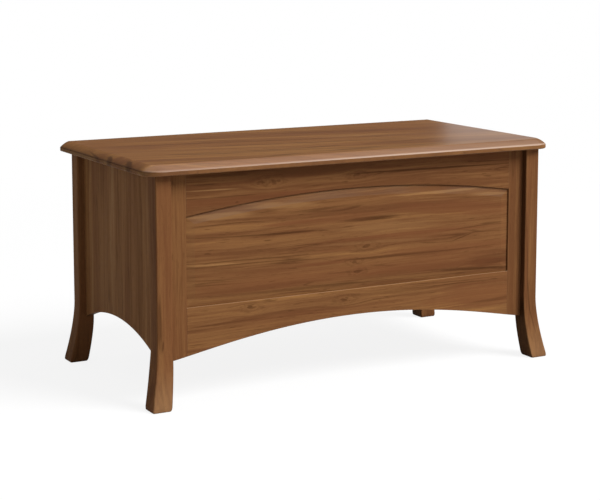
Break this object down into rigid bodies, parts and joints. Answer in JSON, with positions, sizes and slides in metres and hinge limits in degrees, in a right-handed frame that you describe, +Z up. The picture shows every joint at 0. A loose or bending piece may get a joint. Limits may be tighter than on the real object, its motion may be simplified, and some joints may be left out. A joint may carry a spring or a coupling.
{
  "type": "blanket chest",
  "caption": "Walnut blanket chest with flared legs, arched aprons, a framed front with an arched raised panel, solid sides and a hinged lid with a bevelled edge.",
  "frame": {"origin": "on the floor under the middle of the chest's bounding box", "axes": "+X along the front from the left end to the right, +Y from the front to the back, +Z up; the front faces -Y"},
  "size_m": [1.1088, 0.5628, 0.559],
  "materials": {
    "walnut_frame": "satin oil and wax over planed walnut",
    "walnut_panel": "satin oil and wax over planed walnut",
    "walnut_inside": "plain planed walnut",
    "walnut_lid": "satin oil and wax over planed walnut",
    "hinge_brass": "brushed brass, a little dull"
  },
  "bodies": {
    "case": {"post_front_left": "walnut_frame", "post_front_right": "walnut_frame", "post_rear_left": "walnut_frame", "post_rear_right": "walnut_frame", "front_top_rail": "walnut_frame", "front_bottom_rail": "walnut_frame", "front_stile_left": "walnut_frame", "front_stile_right": "walnut_frame", "front_panel": "walnut_panel", "side_board_left": "walnut_panel", "side_board_right": "walnut_panel", "back_board": "walnut_panel", "bottom_board": "walnut_inside", "cleat_front": "walnut_inside", "cleat_back": "walnut_inside", "cleat_left": "walnut_inside", "cleat_right": "walnut_inside", "hinge_left_case_leaf": "hinge_brass", "hinge_left_pin": "hinge_brass", "hinge_middle_case_leaf": "hinge_brass", "hinge_middle_pin": "hinge_brass", "hinge_right_case_leaf": "hinge_brass", "hinge_right_pin": "hinge_brass"},
    "lid": {"lid_board": "walnut_lid", "hinge_left_lid_leaf": "hinge_brass", "hinge_middle_lid_leaf": "hinge_brass", "hinge_right_lid_leaf": "hinge_brass"}
  },
  "joints": [
    {"name": "lid_hinge", "type": "hinge", "parent": "case", "child": "lid", "pos_m": [0, 0.2667, 0.53505], "axis": [-1, 0, 0], "range_deg": [0, 95]}
  ]
}
